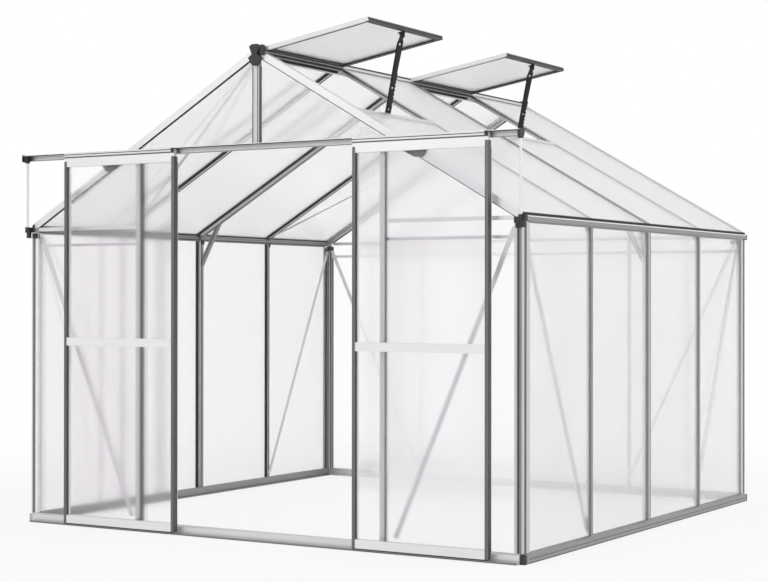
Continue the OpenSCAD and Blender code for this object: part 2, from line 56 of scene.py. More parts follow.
class Wire:
    """A socket that takes part in plain sums."""

    def __init__(self, finish, socket):
        self.finish, self.socket = finish, socket

    def _sum(self, operation, first, second):
        settings = {"operation": operation}
        made = self.finish.node("Math", settings, {0: first, 1: second})
        return Wire(self.finish, made.outputs[0])

    def __add__(self, other):
        return self._sum("ADD", self, other)

    __radd__ = __add__

    def __sub__(self, other):
        return self._sum("SUBTRACT", self, other)

    def __rsub__(self, other):
        return self._sum("SUBTRACT", other, self)

    def __mul__(self, other):
        return self._sum("MULTIPLY", self, other)

    __rmul__ = __mul__

    def __truediv__(self, other):
        return self._sum("DIVIDE", self, other)

    def least(self, other):
        return self._sum("MINIMUM", self, other)

    def most(self, other):
        return self._sum("MAXIMUM", self, other)

    def triangle_wave(self, height):
        return self._sum("PINGPONG", self, height)


class Finish:
    """The node tree of one material."""

    def __init__(self, name):
        self.material = bpy.data.materials.new(name)
        self.material.use_nodes = True
        self.tree = self.material.node_tree
        self.tree.nodes.clear()
        self.end = self.tree.nodes.new("ShaderNodeOutputMaterial")

    def node(self, kind, settings=None, values=None):
        """Any node: its type, its settings, then the values or links of its sockets."""
        made = self.tree.nodes.new("ShaderNode" + kind)
        for name, value in (settings or {}).items():
            if name == "stops":
                while len(made.color_ramp.elements) < len(value):
                    made.color_ramp.elements.new(0.5)
                for stop, (place, colour) in zip(made.color_ramp.elements, value):
                    stop.position, stop.color = place, (*colour, 1)
            else:
                setattr(made, name, value)
        for name, value in (values or {}).items():
            if isinstance(value, Wire):
                self.tree.links.new(value.socket, made.inputs[name])
            else:
                made.inputs[name].default_value = value
        return made

    def wire(self, kind, settings=None, values=None, output=0):
        return Wire(self, self.node(kind, settings, values).outputs[output])

    def place(self, turn=(0, 0, 0), scale=(1, 1, 1)):
        """Object coordinates, turned and then stretched."""
        here = self.wire("TexCoord", output="Object")
        turned = self.wire("Mapping", values={"Vector": here, "Rotation": turn})
        return self.wire("Mapping", values={"Vector": turned, "Scale": scale})

    def noise(self, where, scale, detail=3.0, roughness=0.5):
        values = {"Vector": where, "Scale": scale, "Detail": detail, "Roughness": roughness}
        return self.wire("TexNoise", values=values)

    def axis(self, where, name):
        return self.wire("SeparateXYZ", values={"Vector": where}, output=name)

    def mix_colour(self, factor, first, second):
        made = self.node("Mix", {"data_type": "RGBA"})
        for index, value in ((0, factor), (6, first), (7, second)):
            if isinstance(value, Wire):
                self.tree.links.new(value.socket, made.inputs[index])
            else:
                made.inputs[index].default_value = value if index == 0 else (*value, 1)
        return Wire(self, made.outputs[2])

    def bump(self, height, strength, distance):
        values = {"Height": height, "Strength": strength, "Distance": distance}
        return self.wire("Bump", values=values)

    def shader(self, values):
        made = self.node("BsdfPrincipled", values=values)
        self.tree.links.new(made.outputs[0], self.end.inputs["Surface"])
        return self.material


def aluminium(name, turn=(0, 0, 0), tone=0.74):
    """Satin extrusion: fine draw lines along the bar, which is the turned z axis."""
    finish = Finish(name)
    lines = finish.noise(finish.place(turn, (420, 420, 3)), 1, 4)
    cloud = finish.noise(finish.place(turn, (14, 14, 2.5)), 1, 2)
    dark, pale = (tone * 0.9, tone * 0.905, tone * 0.92), (tone * 1.06, tone * 1.06, tone * 1.06)
    colour = finish.mix_colour((lines * 0.6 + cloud * 0.4 - 0.3) * 2.5, dark, pale)
    return finish.shader({
        "Base Color": colour,
        "Metallic": 0.72,
        "Roughness": 0.3 + lines * 0.12 + cloud * 0.06,
        "Normal": finish.bump(lines, 0.12, 0.0004),
    })


FLUTE, WEB = 0.010, 0.0014


def twin_wall(name, across, turn=(0, 0, 0), alpha=0.8, tone=0.93, blur=0.3, clear=0.85):
    """Milky twin-wall sheet: what stands far behind it blurs, and its webs show as denser lines."""
    finish = Finish(name)
    where = finish.place(turn)
    step = finish.axis(where, across)
    web = (1 - step.triangle_wave(FLUTE / 2) / WEB).most(0)
    cloud = finish.noise(finish.place(turn, (1.2, 1.2, 1.2)), 1, 2)
    lilac, milky = (tone * 0.99, tone * 0.972, tone * 0.995), (tone, tone * 0.985, tone)
    colour = finish.mix_colour(cloud, lilac, milky)
    return finish.shader({
        "Base Color": colour,
        "Roughness": blur - 0.03 + cloud * 0.06,
        "Transmission Weight": clear,
        "IOR": 1.2,
        "Alpha": alpha + web * 0.04 + cloud * 0.03,
        "Normal": finish.bump(web, 0.12, 0.0004),
    })


def moulded(name, colour, roughness=0.45, metallic=0.0, coarse=240, painted_light_left=None):
    """Moulded plastic or rubber with an even grain, and left of x = 0 in a paler colour as painted light if
    one is given.
    """
    finish = Finish(name)
    grain = finish.noise(finish.place(), coarse, 3)
    cloud = finish.noise(finish.place(), 22, 2)
    pale = tuple(min(1, c * 1.35 + 0.006) for c in colour)
    paint = finish.mix_colour(cloud, colour, pale)
    if painted_light_left:
        left = (finish.axis(finish.place(), "X") * -1000).most(0).least(1)
        paint = finish.mix_colour(left, paint, painted_light_left)
    return finish.shader({
        "Base Color": paint,
        "Metallic": metallic,
        "Roughness": roughness + grain * 0.15,
        "Normal": finish.bump(grain, 0.2, 0.0004),
    })


ALONG_X = (0, math.radians(90), 0)
ALONG_Y = (math.radians(90), 0, 0)
UPRIGHT = (0, 0, 0)
DOWN_RIGHT = (0, math.radians(-60), 0)
DOWN_LEFT = (0, math.radians(60), 0)
# Each of these is one satin aluminium, and its tone paints light and shade: lighter copies for faces that
# catch the light, darker copies for faces in shade, down to the darkest for recesses and bars seen inside.
rail_x = aluminium("aluminium_rail_across", ALONG_X, 0.72)
rail_y = aluminium("aluminium_rail_along", ALONG_Y, 0.66)
gutter_painted_shade = aluminium("aluminium_painted_shade_gutter", ALONG_Y, 0.3)
post_painted_shade = aluminium("aluminium_painted_shade_post", UPRIGHT, 0.6)
slope_right = aluminium("aluminium_right_slope", DOWN_RIGHT, 0.62)
slope_left = aluminium("aluminium_left_slope", DOWN_LEFT, 0.62)
stile_painted_shade = aluminium("aluminium_painted_shade_stile", UPRIGHT, 0.2)
shaded_upright = aluminium("aluminium_shaded_upright", UPRIGHT, 0.11)
shaded_left = aluminium("aluminium_shaded_left_slope", DOWN_LEFT, 0.11)
shaded_along = aluminium("aluminium_shaded_along", ALONG_Y, 0.1)
shaded_across = aluminium("aluminium_shaded_across", ALONG_X, 0.13)
mid_painted_shade = aluminium("aluminium_painted_shade_mid", UPRIGHT, 0.3)
sill_painted_shade = aluminium("aluminium_painted_shade_side_sill", ALONG_Y, 0.32)
front_slopes = aluminium("aluminium_front_slopes", DOWN_LEFT, 0.78)
inner_post_painted_shade = aluminium("aluminium_painted_shade_left_post", UPRIGHT, 0.27)
inner_slope_painted_shade = aluminium("aluminium_painted_shade_left_rafter", DOWN_LEFT, 0.27)
lip_painted_highlight = aluminium("aluminium_painted_highlight_lip", ALONG_X, 0.86)
door_rails = aluminium("aluminium_door_rails", ALONG_X, 0.82)
# The sheets differ face by face in tone, alpha and clearness: lighter and darker copies of one twin-wall
# sheet, painted light and shade by how light falls on each face.
sheet_door = twin_wall("twin_wall_door", "X", alpha=0.58, tone=0.985, blur=0.2, clear=0.97)
sheet_gable = twin_wall("twin_wall_gable", "X", alpha=0.45, tone=0.99, blur=0.22, clear=0.98)
sheet_side = twin_wall("twin_wall_right_wall", "Y", alpha=0.5, tone=0.998, blur=0.23, clear=0.99)
sheet_wall = twin_wall("twin_wall_left_wall", "Y", alpha=0.85, tone=0.94, blur=0.25, clear=0.97)
sheet_left = twin_wall("twin_wall_left_roof", "Y", alpha=0.4, tone=0.998, blur=0.23, clear=0.99)
sheet_right = twin_wall("twin_wall_right_roof", "Y", alpha=0.85, tone=0.98, blur=0.32, clear=0.45)
sheet_vent = twin_wall("twin_wall_vent", "Y", alpha=0.65, tone=0.975, blur=0.32, clear=0.9)
plastic = moulded("black_plastic", (0.02, 0.02, 0.021))
rubber = moulded("black_rubber", (0.012, 0.012, 0.012), 0.6)
vent_painted_shade = moulded("painted_shade_vent_frame", (0.032, 0.031, 0.026), 0.4, 0.4)
stay_black = moulded("black_stay", (0.008, 0.008, 0.0085), 0.5)
# Pale non-metal for the lit sides of the right wall bars, the bright lines and the screw heads: painted
# light and highlights.
pale_painted_light = moulded("painted_light_pale", (0.88, 0.88, 0.89), 0.5)
steel = moulded("bright_steel", (0.62, 0.62, 0.63), 0.25, 1.0)
rod_finish = moulded("milky_rod", (0.72, 0.72, 0.74), 0.3)
bracket = moulded("grey_bracket", (0.17, 0.17, 0.175), 0.4, 0.3)
# The base corner pieces left of the middle are painted paler grey: painted light.
corner_plastic = moulded("base_corner_plastic", (0.02, 0.02, 0.021), painted_light_left=(0.5, 0.5, 0.51))

FINISHES = {
    rail_x: ["base_frame_front", "base_frame_rear", "front_cross_bars", "rear_cross_bars",
             "front_transom", "door_track", "front_gable_braces", "rear_gable_braces"],
    rail_y: ["ridge_beam", "left_wall_braces", "right_wall_braces", "vent_sills", "vent_frames"],
    sill_painted_shade: ["base_frame_left", "base_frame_right"],
    door_rails: ["left_door_frame", "right_door_frame"],
    gutter_painted_shade: ["left_eave_gutter", "right_eave_gutter"],
    post_painted_shade: ["front_corner_posts", "rear_corner_posts", "right_wall_bars", "right_middle_post",
                  "door_jambs", "front_king_post", "rear_gable_posts", "knee_braces"],
    inner_post_painted_shade: ["left_wall_bars", "left_middle_post"],
    inner_slope_painted_shade: ["left_roof_bars", "middle_rafters"],
    slope_right: ["right_roof_bars"],
    slope_left: ["rear_gable_rafters", "roof_braces"],
    front_slopes: ["front_gable_rafters"],
    sheet_door: ["left_door_panels", "right_door_panels"],
    sheet_gable: ["front_gable_panels", "rear_gable_panels"],
    sheet_side: ["right_wall_panels"],
    sheet_wall: ["left_wall_panels"],
    sheet_left: ["left_roof_panels"],
    sheet_right: ["right_roof_panels"],
    sheet_vent: ["vent_panels"],
    plastic: ["gutter_end_caps", "ridge_end_caps", "track_end_stops", "vent_stays",
              "left_door_rollers", "right_door_rollers"],
    corner_plastic: ["base_corner_pieces"],
    bracket: ["track_brackets"],
    rubber: ["roof_edge_seals"],
    rod_finish: ["track_support_rods"],
}
for material, names in FINISHES.items():
    for name in names:
        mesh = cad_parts[name].data
        mesh.materials.clear()
        mesh.materials.append(material)

# ---------------------------------------------------------------- places taken from the frame

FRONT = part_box("front_cross_bars")[0].y
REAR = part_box("rear_cross_bars")[1].y
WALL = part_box("right_wall_bars")[1].x
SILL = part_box("base_frame_right")[1].z
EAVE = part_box("right_middle_post")[1].z + 6.3 * MM
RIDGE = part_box("ridge_beam")[1].z - 4 * MM
BAR_HALF = 10 * MM
BAR_YS = (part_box("right_wall_bars")[0].y + BAR_HALF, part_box("right_wall_bars")[1].y - BAR_HALF)
MIDDLE_Y = sum(BAR_YS) / 2
BAR_TOP = 39 * MM
BAR_FOOT = WALL - 20 * MM
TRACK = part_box("door_track")
TRACK_Z = TRACK[0].z - 8 * MM
DOORS = {"left_door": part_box("left_door_frame"), "right_door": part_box("right_door_frame")}
ACROSS_X = Vector((1, 0, 0))
ACROSS_Y = Vector((0, 1, 0))
UP = Vector((0, 0, 1))

# ---------------------------------------------------------------- ways of making pieces


def pick(piece):
    """Only this piece is selected and active."""
    bpy.ops.object.select_all(action="DESELECT")
    piece.select_set(True)
    bpy.context.view_layer.objects.active = piece


def extruded(outline, start, across, up, along):
    """A bar: an outline in millimetres, laid out along two directions and pulled along a third."""
    bpy.ops.object.select_all(action="DESELECT")
    bpy.ops.mesh.primitive_circle_add(vertices=len(outline), radius=MM, fill_type="NGON")
    piece = bpy.context.object
    for vertex, (u, v) in zip(piece.data.vertices, outline):
        vertex.co = start + (across * u + up * v) * MM
    bpy.ops.object.mode_set(mode="EDIT")
    bpy.ops.mesh.select_all(action="SELECT")
    bpy.ops.mesh.extrude_region_move(TRANSFORM_OT_translate={"value": along})
    bpy.ops.mesh.select_all(action="SELECT")
    bpy.ops.mesh.normals_make_consistent(inside=False)
    bpy.ops.object.mode_set(mode="OBJECT")
    return piece


def pillar(outline, x, y, low, high):
    """Upright bar whose outline goes along x and y."""
    return extruded(outline, Vector((x, y, low)), ACROSS_X, ACROSS_Y, UP * (high - low))


def rail(outline, x, y, z, length):
    """Level bar along x whose outline goes along y and up."""
    return extruded(outline, Vector((x, y, z)), ACROSS_Y, UP, ACROSS_X * length)


def beam(outline, x, y, z, length):
    """Level bar along y whose outline goes along x and up."""
    return extruded(outline, Vector((x, y, z)), ACROSS_X, UP, ACROSS_Y * length)


def flat(a0, a1, b0, b1):
    """Outline of a flat strip."""
    return [(a0, b0), (a1, b0), (a1, b1), (a0, b1)]


def rounded(radius, u, v):
    """Outline of a round head about a middle."""
    turns = [i * math.pi / 6 for i in range(12)]
    return [(radius * math.cos(turn) + u, radius * math.sin(turn) + v) for turn in turns]


def ribbed(a0, a1, b0, b1, ribs, rise):
    """Outline of a strip with ribs standing on its far side."""
    step = (a1 - a0) / (2 * ribs - 1)
    points = [(a0, b0), (a1, b0)]
    for i in range(ribs):
        right = a1 - 2 * i * step
        points += [(right, b1 + rise), (right - step, b1 + rise)]
        if i < ribs - 1:
            points += [(right - step, b1), (right - 2 * step, b1)]
    return points


def copied(piece, move=(0, 0, 0)):
    pick(piece)
    bpy.ops.object.duplicate()
    bpy.ops.transform.translate(value=move)
    bpy.ops.object.transform_apply(location=True, rotation=True, scale=True)
    return bpy.context.object


def mirrored(piece, axis, about=0.0):
    """A copy mirrored in the plane square to an axis (0 for x, 1 for y)."""
    made = copied(piece)
    scale, centre = [1, 1, 1], [0, 0, 0]
    scale[axis], centre[axis] = -1, about
    bpy.ops.object.mode_set(mode="EDIT")
    bpy.ops.mesh.select_all(action="SELECT")
    bpy.ops.transform.resize(value=scale, center_override=centre)
    bpy.ops.mesh.flip_normals()
    bpy.ops.object.mode_set(mode="OBJECT")
    return made


def gathered(pieces):
    bpy.ops.object.select_all(action="DESELECT")
    for piece in pieces:
        piece.select_set(True)
    bpy.context.view_layer.objects.active = pieces[0]
    if len(pieces) > 1:
        bpy.ops.object.join()
    return bpy.context.object


def settled(name, finish, pieces, body="greenhouse"):
    """Joins the pieces, names them, gives them their finish and the body that they ride on."""
    made = gathered(pieces)
    made.name = made.data.name = name
    made.data.materials.clear()
    made.data.materials.append(finish)
    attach(made, body)
    return made


def wall_run(side, outline, y, low, high):
    """Upright bar on a side wall: the outline goes along the wall and inwards from its face."""
    start = Vector((side * WALL, y, low))
    return extruded(outline, start, ACROSS_Y, Vector((-side, 0, 0)), UP * (high - low))


def slope_run(side, outline, y, near, far):
    """Bar in a roof slope: the outline goes along the ridge and down from the roof surface."""
    down = Vector((side * math.cos(PITCH), 0, -math.sin(PITCH)))
    inward = Vector((-side * math.sin(PITCH), 0, -math.cos(PITCH)))
    start = Vector((0, y, RIDGE)) + down * (near / math.cos(PITCH))
    return extruded(outline, start, ACROSS_Y, inward, down * ((far - near) / math.cos(PITCH)))


# ---------------------------------------------------------------- bars of the walls and the roof

# outlines: along the wall, inwards from its face
PLAIN_SIDES = [flat(-2, -1.05, 12.5, 16.4), flat(1.05, 2, 12.5, 17),
               flat(-2, -1.05, 21.4, 25.5), flat(1.05, 2, 21.5, 25.5)]
PLAIN_SEAL_SHADE = [flat(-12.6, -9.4, 9.6, 12.3), flat(9.4, 12.6, 9.6, 12.3)]
MIDDLE_SIDES = [flat(-10, -9.05, 12.5, 16), flat(9.05, 10, 12.5, 16),
                flat(-10, -9.05, 20, 23), flat(9.05, 10, 20, 23),
                flat(-10, -9.05, 28, 31.5), flat(9.05, 10, 28, 31.5)]
MIDDLE_SEAL_SHADE = [flat(-19.6, -16.4, 9.6, 12.3), flat(16.4, 19.6, 9.6, 12.3)]
PLAIN_GASKET_SHADE = [flat(-11.8, -10.05, 0.3, 2)]
MIDDLE_GASKET_SHADE = [flat(-19.4, -17.05, 0.3, 2), flat(17.05, 19.4, 0.3, 2)]
PLAIN_FACES = [flat(-10, 10, -0.6, -0.05)]
MIDDLE_FACES = [flat(-17, -4, -0.6, -0.05), flat(7, 17, -0.6, -0.05)]
PLAIN_BRIGHT = [flat(-2.2, -1.05, 16.5, 21.3)]
MIDDLE_BRIGHT = [flat(-10.2, -9.05, 16.1, 19.9), flat(-10.2, -9.05, 23.1, 27.9)]


def bar_linings(run, side, outlines, places):
    first = gathered([run(side, outline, places[0]) for outline in outlines])
    return [first] + [copied(first, (0, y - places[0], 0)) for y in places[1:]]


def on_wall(side, outline, y):
    return wall_run(side, outline, y, SILL + MM, EAVE - 7 * MM)


def on_slope(side, outline, y):
    return slope_run(side, outline, y, BAR_TOP, BAR_FOOT)


# Strips on the bars paint light and shade: the sides are shaded aluminium on the left and pale on the right
# wall; the black seals also paint shade by the bars' edges and stand on the left wall and the roofs only;
# the pale lines are painted highlights; the outer faces and the strips where the gaskets sit are dark
# aluminium as painted shade.
for side, word in ((-1, "left"), (1, "right")):
    shaded_slope = shaded_left if side < 0 else slope_right
    wall_side_painted_tone = shaded_upright if side < 0 else pale_painted_light
    for run, place, shaded in ((on_wall, "wall", wall_side_painted_tone), (on_slope, "roof", shaded_slope)):
        settled(f"{word}_{place}_bar_sides", shaded,
                bar_linings(run, side, PLAIN_SIDES, BAR_YS)
                + bar_linings(run, side, MIDDLE_SIDES, [MIDDLE_Y]))
        if side < 0 or place == "roof":
            settled(f"{word}_{place}_bar_seal_shade", rubber,
                    bar_linings(run, side, PLAIN_SEAL_SHADE, BAR_YS)
                    + bar_linings(run, side, MIDDLE_SEAL_SHADE, [MIDDLE_Y]))
        if side < 0 or place == "wall":
            settled(f"{word}_{place}_bar_bright_lines", pale_painted_light,
                    bar_linings(run, side, PLAIN_BRIGHT, BAR_YS)
                    + bar_linings(run, side, MIDDLE_BRIGHT, [MIDDLE_Y]))
    settled(f"{word}_wall_bar_faces", gutter_painted_shade,
            bar_linings(on_wall, side, PLAIN_FACES, BAR_YS)
            + bar_linings(on_wall, side, MIDDLE_FACES, [MIDDLE_Y]))
    settled(f"{word}_wall_bar_gasket_shade", gutter_painted_shade,
            bar_linings(on_wall, side, PLAIN_GASKET_SHADE, BAR_YS)
            + bar_linings(on_wall, side, MIDDLE_GASKET_SHADE, [MIDDLE_Y]))

# strip under each gable rafter: a black seal, which also paints the shade along the rafter's lower edge
for y, word in ((FRONT, "front"), (REAR, "rear")):
    inward = 1 if y < 0 else -1
    outline = [(inward * a, d) for a, d in flat(-1, 12.4, 30.1, 32.8)]
    strips = [slope_run(side, outline, y, 34 * MM, WALL - 20 * MM) for side in (-1, 1)]
    settled(f"{word}_rafter_seal_shade", rubber, strips)

# ---------------------------------------------------------------- corner posts


def corner_run(outline, low, high):
    """Front right corner: the outline goes inwards from the side wall and from the gable."""
    return extruded(outline, Vector((WALL, FRONT, low)), -ACROSS_X, ACROSS_Y, UP * (high - low))


def all_corners(piece):
    front = [piece, mirrored(piece, 0)]
    return front + [mirrored(corner, 1, (FRONT + REAR) / 2) for corner in front]


# Dark strips in the corner posts' recesses and a black line in their groove: painted shade.
recess_shade_pieces = gathered([
    corner_run(ribbed(7.4, 27.6, 5.9, 4.4, 4, -1.1), SILL + MM, EAVE - 4 * MM),
    corner_run([(b, a) for a, b in ribbed(9.4, 27.6, 5.9, 4.4, 3, -2.4)], SILL + MM, EAVE - 4 * MM)])
settled("corner_post_recess_shade", mid_painted_shade, all_corners(recess_shade_pieces))
line = corner_run(flat(19.6, 23.6, 3, 4.2), SILL + MM, EAVE - 4 * MM)
settled("corner_post_groove_shade", rubber, all_corners(line))
# Pale face and side on the front left post: painted highlight. The strips on the posts' inner sides: the
# rear left one in shaded aluminium as painted shade, the right ones in the post tone, none at the front
# left.
settled("left_corner_face", lip_painted_highlight, [
    pillar(outline, -WALL, FRONT, SILL + MM, EAVE - 29 * MM)
    for outline in (flat(22.5, 38.4, -0.7, -0.05), flat(39.05, 39.8, -0.6, 12))])
inner = gathered([corner_run(outline, SILL + MM, EAVE - 14 * MM) for outline in (
    flat(12.6, 13.5, 33.5, 44), flat(12.6, 13.5, 47.5, 55.6), flat(34, 39, 12.6, 13.5),
    [(14.8, 31), (20.6, 25.2), (21.3, 25.9), (15.5, 31.7)],
    [(24.6, 21.2), (30.4, 15.4), (31.1, 16.1), (25.3, 21.9)])])
rear_inner = mirrored(inner, 1, (FRONT + REAR) / 2)
settled("rear_left_post_inner_sides", shaded_upright, [mirrored(rear_inner, 0)])
settled("corner_post_inner_sides", post_painted_shade, [inner, rear_inner])
settled("corner_top_connectors", plastic, [
    pillar(flat(9, 36, -2.4, -1), -WALL, FRONT, EAVE - 26 * MM, EAVE - 3 * MM),
    corner_run(flat(1, 40, -2.4, -0.1), EAVE - 8 * MM, EAVE + 16 * MM)])
settled("corner_top_ribs", plastic, [
    corner_run(ribbed(9, 34, -0.1, -0.9, 4, -0.9), EAVE - 28 * MM, EAVE - 8.2 * MM)])
post_tops = []
for y, half, deep in ((MIDDLE_Y, 13, 32.2), (BAR_YS[0], 7, 26.2), (BAR_YS[1], 7, 26.2)):
    post_tops.append(extruded(flat(deep, deep + 2.4, -half, half), Vector((WALL, y, EAVE - 22 * MM)),
                              -ACROSS_X, ACROSS_Y, UP * 20 * MM))
post_tops.append(extruded([(30, -58), (57, -58), (57, -30), (52, -30), (52, -53), (30, -53)],
                          Vector((WALL, REAR, EAVE - 26 * MM)), -ACROSS_X, ACROSS_Y, UP * 22 * MM))
right_tops = gathered(post_tops)
settled("post_top_connectors", plastic, [right_tops, mirrored(right_tops, 0)])

# ---------------------------------------------------------------- door jambs and king post

JAMB_IN = 617
jamb_low, jamb_high = SILL + MM, TRACK_Z - 3 * MM
jamb_side = flat(JAMB_IN - 0.9, JAMB_IN - 0.1, -7.6, 23.6)
jamb_back = flat(JAMB_IN + 11.1, JAMB_IN + 12, 12.8, 23.6)
jamb_edge = flat(JAMB_IN + 22.1, JAMB_IN + 22.9, -7.6, 2.8)
right_jamb = gathered([pillar(outline, 0, FRONT, jamb_low, jamb_high)
                       for outline in (jamb_side, jamb_back, jamb_edge)])
# Dark strips on the jambs' sides: painted shade.
settled("door_jamb_sides", shaded_upright, [right_jamb, mirrored(right_jamb, 0)])

post_low, post_high = TRACK[1].z + 4 * MM, RIDGE - 80 * MM
# Dark strips along the king post: painted shade.
settled("king_post_painted_shade", shaded_upright, [
    pillar(outline, 0, FRONT, post_low, post_high)
    for outline in (flat(-18.4, -15.2, -1, -0.1), flat(15.2, 18.4, -1, -0.1),
                    flat(19.1, 20.4, 0.2, 12.3), flat(-20.4, -19.1, 0.2, 12.3),
                    flat(7.1, 8, -2.8, -0.1))])

# ---------------------------------------------------------------- doors

HEAD = 23 * MM
DOOR_TOP = TRACK_Z - 5 * MM
LID = TRACK[1].z / MM
CAP_WIDE = 15 * MM


def both_stiles(low, high, outlines, extra=(0, 0)):
    """Strips up both stiles of a door, mirrored on the right, each side longer by its extra."""
    base = Vector((low.x, FRONT, low.z))
    left_hand, right_hand = [gathered([
        extruded(outline, base, ACROSS_X, ACROSS_Y, UP * (DOOR_TOP - HEAD - low.z + more * MM))
        for outline in outlines]) for more in extra]
    pieces = [left_hand, mirrored(right_hand, 0, (low.x + high.x) / 2)]
    bpy.data.objects.remove(right_hand)
    return pieces


for body, (low, high) in DOORS.items():
    # Stile ribs in dark aluminium and stile sides in the shaded aluminium: painted shade on the door
    # stiles.
    settled(f"{body}_stile_ribs", stile_painted_shade, both_stiles(
        low, high, [ribbed(0.2, 13.8, -44.05, -44.4, 3, -0.9)], (24, 25)), body)
    settled(f"{body}_stile_sides", shaded_upright, both_stiles(
        low, high, [flat(-0.5, -0.1, -43.8, -21), flat(14.1, 14.6, -43.8, -33.6)], (24, 25)), body)
    settled(f"{body}_edge_seals", rubber, both_stiles(
        low, high, [flat(-0.5, -0.1, -20.8, -17.6), flat(14.7, 15.6, -34.4, -33.3)]), body)
    settled(f"{body}_stile_cap", plastic, [
        pillar(flat(-14.5, -1, -47.9, -44.2), high.x, FRONT, (LID - 19) * MM, (LID - 9.6) * MM),
        pillar(flat(-14.5, -1, -47.9, -47.3), high.x, FRONT, (LID - 9.6) * MM, (LID - 0.8) * MM)], body)

    width = high.x - low.x
    settled(f"{body}_hanger_cover", rail_x, [
        rail(flat(-47.9, -47.3, LID - 7, LID - 0.6), low.x, FRONT, 0, width - CAP_WIDE)], body)
    # A black strip under the hanger cover, a dark strip on the header and a black strip under the door's
    # foot: painted shade and painted shadow in the gaps.
    settled(f"{body}_hanger_painted_shade", rubber, [
        rail(flat(-47.6, -44.1, LID - 9.5, LID - 7.1), low.x, FRONT, 0, width - CAP_WIDE)], body)
    settled(f"{body}_header_painted_shade", shaded_across, [
        rail(flat(-44.7, -44.1, 16, 22), low.x, FRONT, DOOR_TOP, width)], body)
    settled(f"{body}_foot_painted_shadow", rubber, [
        rail(flat(-43.4, -40, -4.4, -0.1), low.x, FRONT, low.z, width)], body)

# ---------------------------------------------------------------- door track


def along_track(outline, z):
    return rail(outline, TRACK[0].x, FRONT, z, TRACK[1].x - TRACK[0].x)


# Black strips under the track's lip and under its top plate: painted shadow; the lip pale as a painted
# highlight; a dark line by the track's foot: painted shade.
settled("track_lip_painted_shadow", rubber, [
    along_track(flat(-46.5, -46.05, -6, -2.4), TRACK[1].z),
    along_track(flat(-43.9, -27.5, -4.6, -3.1), TRACK[1].z)])
settled("track_lip", lip_painted_highlight, [along_track(flat(-46.6, -46.05, -2.3, 0), TRACK[1].z)])
settled("track_foot_line", shaded_across, [along_track(flat(-20.9, -20.1, 0, 2.4), TRACK[0].z)])

# ---------------------------------------------------------------- roof vents

LEAF_RISE = math.radians(9.5)
LEAF_LONG, LEAF_THICK, LEAF_WIDE = 522, 18, 0.6145
vent_low, vent_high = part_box("vent_frames")
leaf_out = Vector((math.cos(LEAF_RISE), 0, math.sin(LEAF_RISE)))
leaf_up = Vector((-math.sin(LEAF_RISE), 0, math.cos(LEAF_RISE)))
HINGE_X = 36 * MM
FRAME_BAR = 21
under, far_side = -LEAF_THICK, LEAF_WIDE / MM
linings, near_seals, hinges = [], [], []
for y in (vent_low.y, vent_high.y - LEAF_WIDE):
    hinge = Vector((HINGE_X, y, RIDGE))
    for outline in (flat(LEAF_LONG + 0.1, LEAF_LONG + 0.9, under + 0.6, -3.4),
                    flat(LEAF_LONG - 19, LEAF_LONG - 0.6, under - 0.9, under - 0.1),
                    flat(0.6, 19, under - 0.9, under - 0.1),
                    flat(19.9, 20.7, under + 0.2, -9.8)):
        linings.append(extruded(outline, hinge, leaf_out, leaf_up, ACROSS_Y * LEAF_WIDE))
    start = hinge + leaf_out * FRAME_BAR * MM
    down_leaf = leaf_out * (LEAF_LONG - 2 * FRAME_BAR) * MM
    for outline in (flat(far_side - 19.4, far_side - 1, under - 0.9, under - 0.1),
                    flat(far_side - 20.8, far_side - 20.1, under + 0.4, -9.8)):
        linings.append(extruded(outline, start, ACROSS_Y, leaf_up, down_leaf))
    for outline in (flat(33, 39.4, -34.5, -22.6), flat(12, 33, -34, -27.6), flat(10.1, 11.6, -44, -15)):
        hinges.append(beam(outline, 0, y, RIDGE, LEAF_WIDE))
    near_seals.append(extruded(
        flat(12, 19.8, under - 1, under - 0.1), start, ACROSS_Y, leaf_up, down_leaf))
settled("vent_near_seals", rubber, near_seals)
# Dark olive strips on the vent frames' edges and by the hinge: painted shade, with an olive tint as painted
# reflection.
settled("vent_frame_painted_shade", vent_painted_shade, linings)
settled("vent_hinge_strips", vent_painted_shade, hinges)

# stays: a toothed channel from the roof to the leaf, with its two fixing plates
SILL_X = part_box("vent_sills")[0].x / MM
TAN, COS = math.tan(PITCH), math.cos(PITCH)
ridge_mm = RIDGE / MM
stay_at = LEAF_LONG - 26
foot = Vector((SILL_X - 22, ridge_mm - (SILL_X - 22) * TAN - 12))
head = Vector((HINGE_X / MM + stay_at * math.cos(LEAF_RISE) + 24 * math.sin(LEAF_RISE),
               ridge_mm + stay_at * math.sin(LEAF_RISE) - 30))
reach = (head - foot).length
stay_dir = Vector(((head - foot).x, 0, (head - foot).y)) / reach
stay_side = Vector((stay_dir.z, 0, -stay_dir.x))
teeth = []
for i in range(9):
    z = 30 + i * 17
    teeth += [(13.5, z), (13.5, z + 9), (10.5, z + 10), (10.5, z + 16)]
web = [(-12.5, 0), (12, 0)] + teeth + [
    (13.5, reach - 60), (13.5, reach - 26), (8, reach - 8), (7, reach + 6),
    (-5, reach + 6), (-8, reach - 10), (-13, reach - 30)]
back_edge = [(-13.5, 4), (-10.8, 4), (-10.8, reach - 32), (-13.5, reach - 36)]
foot_plate = [(-12, -14), (10, -14), (11.5, 2), (5, 8), (-8, 8), (-12, 0)]
head_plate = [(-16, -18.2), (14, -18.2), (8, -44), (-8, -44)]
leaf_plate = [(-16, -20.6), (14, -20.6), (14, -18.2), (-16, -18.2)]
stays, studs = [], []
